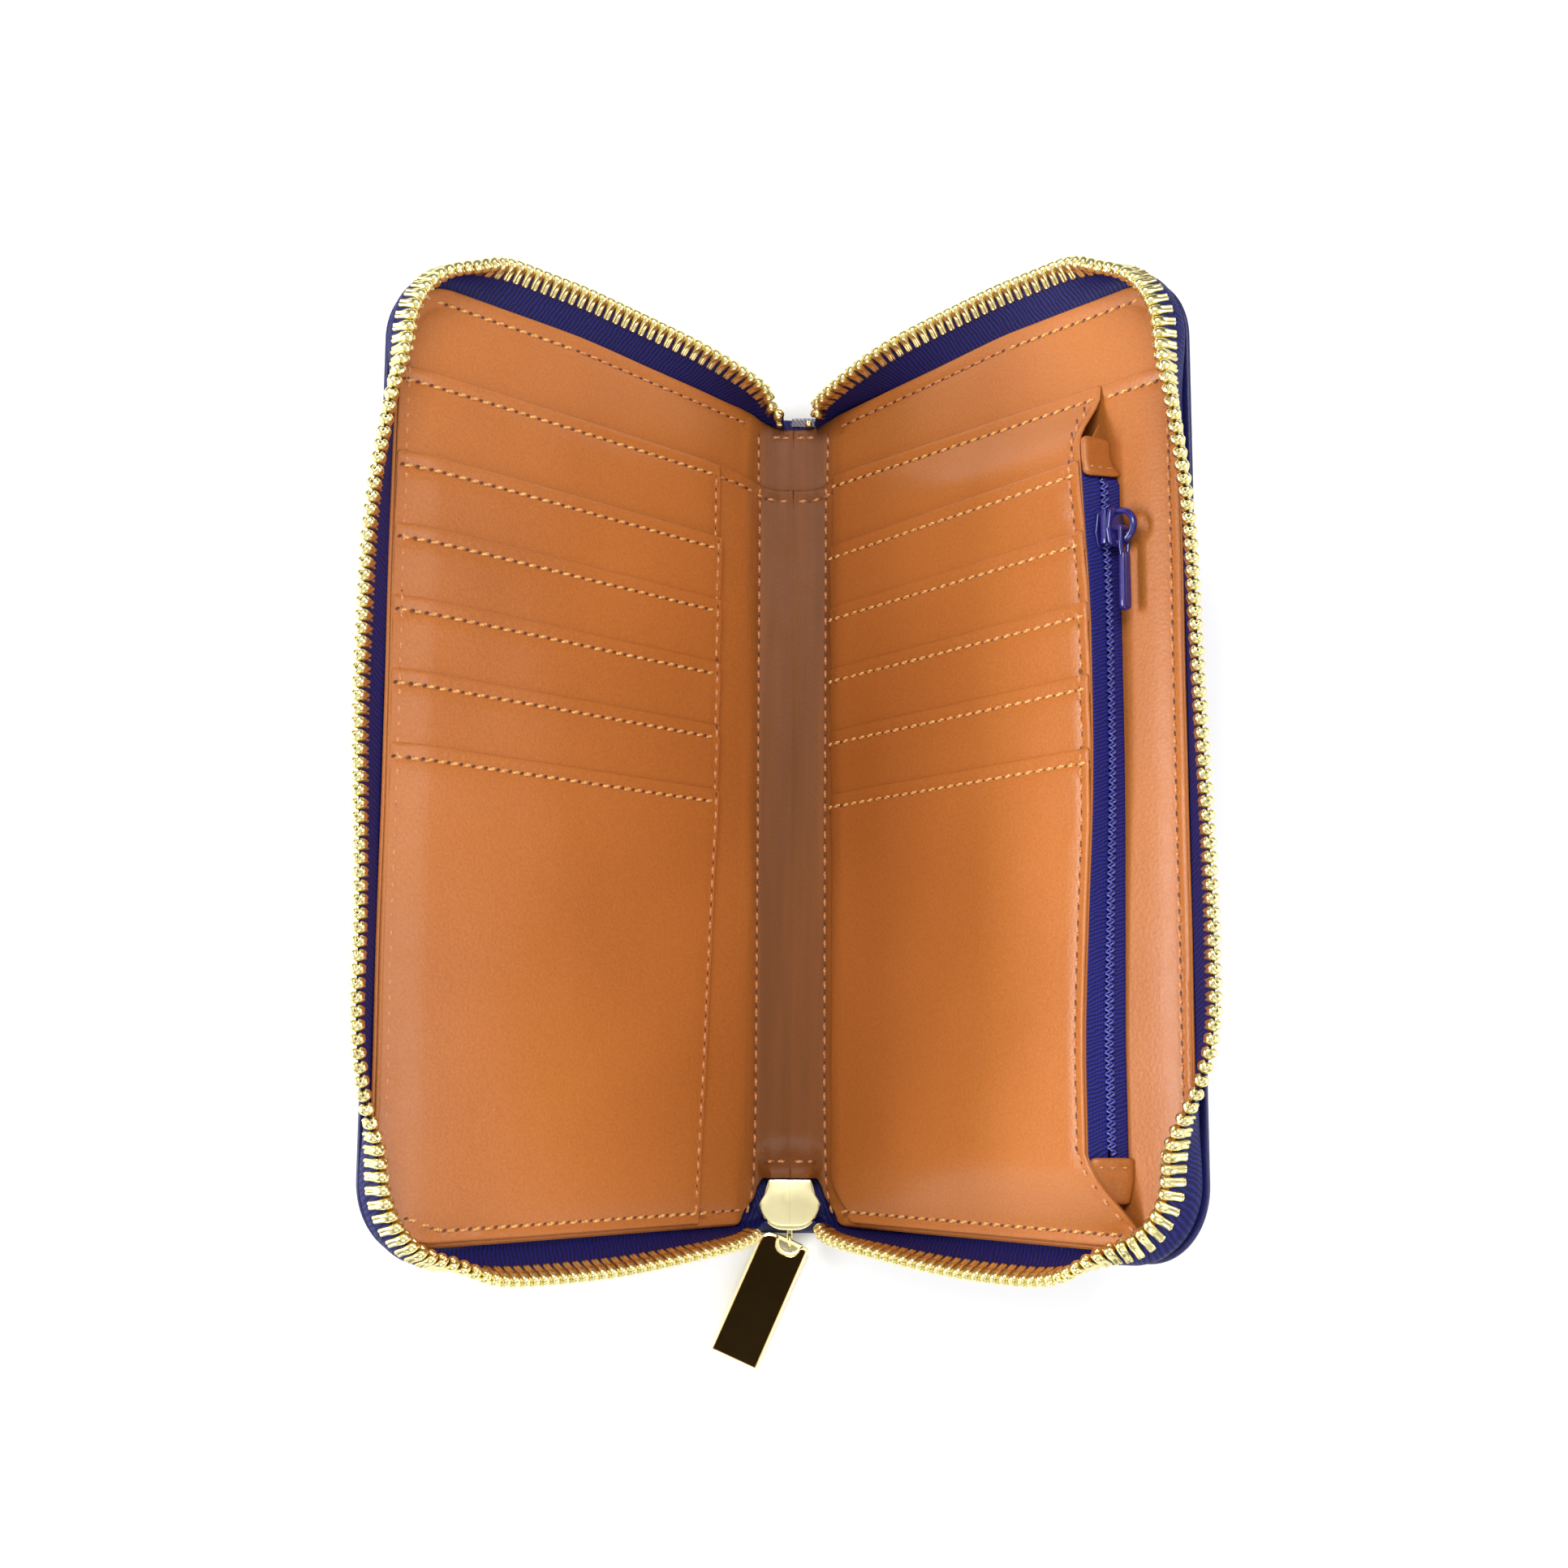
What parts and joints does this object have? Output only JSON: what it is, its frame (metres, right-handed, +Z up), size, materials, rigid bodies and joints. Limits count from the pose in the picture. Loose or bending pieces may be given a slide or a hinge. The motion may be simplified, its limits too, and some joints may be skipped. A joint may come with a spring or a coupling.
{
  "type": "passport holder",
  "caption": "Zip-around travel wallet and passport holder, open on its spine, with stepped card pockets, slip pockets and a gusseted zip pocket.",
  "frame": {"origin": "middle of the outer face of the spine, on the plane that it lies on", "axes": "+Z up, out of the open case; +Y along the spine from the end where the main slider rests to the other end; +X towards the cover with the zip pocket"},
  "size_m": [0.1643, 0.24, 0.0967],
  "materials": {
    "navy_leather": "smooth, lightly grained",
    "tan_leather": "smooth, soft sheen",
    "board": "uncoated, hidden",
    "navy_tape": "woven",
    "gold_teeth": "polished, pale gold",
    "gold_plate": "plated, pale gold",
    "navy_metal": "gloss enamel",
    "navy_coil": "nylon coil, glossy"
  },
  "bodies": {
    "spine": {"spine_exterior": "navy_leather", "spine_stiffener": "board", "spine_lining": "tan_leather", "slip_pocket_spine": "tan_leather", "zip_end_tape_top": "navy_tape", "zip_end_tape_bottom": "navy_tape", "zip_top_stops": "gold_teeth", "zip_bottom_stop": "gold_teeth"},
    "left_cover": {"cover_exterior_left": "navy_leather", "stiffener_left": "board", "lining_left": "tan_leather", "slip_pocket_left": "tan_leather", "card_panel_left": "tan_leather", "card_pocket_left_1": "tan_leather", "card_pocket_left_2": "tan_leather", "card_pocket_left_3": "tan_leather", "card_pocket_left_4": "tan_leather", "card_pocket_left_5": "tan_leather", "zip_tape_left": "navy_tape", "zip_teeth_left": "gold_teeth"},
    "right_cover": {"cover_exterior_right": "navy_leather", "stiffener_right": "board", "lining_right": "tan_leather", "slip_pocket_right": "tan_leather", "zip_pocket_front": "tan_leather", "card_pocket_right_1": "tan_leather", "card_pocket_right_2": "tan_leather", "card_pocket_right_3": "tan_leather", "card_pocket_right_4": "tan_leather", "card_pocket_right_5": "tan_leather", "zip_tape_right": "navy_tape", "zip_teeth_right": "gold_teeth", "pocket_zip_tapes": "navy_tape", "pocket_zip_coil": "navy_coil", "pocket_zip_tab_top": "tan_leather", "pocket_zip_tab_bottom": "tan_leather", "pocket_end_gussets": "tan_leather"},
    "main_slider": {"main_slider": "gold_plate"},
    "main_pull": {"main_pull": "gold_plate"},
    "pocket_slider": {"pocket_slider": "navy_metal"},
    "pocket_pull": {"pocket_pull": "navy_metal"}
  },
  "joints": [
    {"name": "left_cover_fold", "type": "hinge", "parent": "spine", "child": "left_cover", "pos_m": [-0.00922, 0, 0.0012], "axis": [0, -1, 0], "range_deg": [-42.5, 47.5]},
    {"name": "right_cover_fold", "type": "hinge", "parent": "spine", "child": "right_cover", "pos_m": [0.00922, 0, 0.0012], "axis": [0, 1, 0], "range_deg": [-39.8, 50.2]},
    {"name": "main_slider_travel", "type": "slide", "parent": "spine", "child": "main_slider", "axis": [0, -1, 0], "range_m": [0, 0.002]},
    {"name": "main_pull_swing", "type": "hinge", "parent": "main_slider", "child": "main_pull", "pos_m": [0, -0.1023, 0.0021], "axis": [0, 0, 1], "range_deg": [-6, 48]},
    {"name": "pocket_slider_travel", "type": "slide", "parent": "right_cover", "child": "pocket_slider", "axis": [0, 1, 0], "range_m": [-0.122, 0.0055]},
    {"name": "pocket_pull_swing", "type": "hinge", "parent": "pocket_slider", "child": "pocket_pull", "pos_m": [0.0669, 0.0459, 0.07901], "axis": [-0.7683, 0, 0.6401], "range_deg": [-4, 34]}
  ]
}
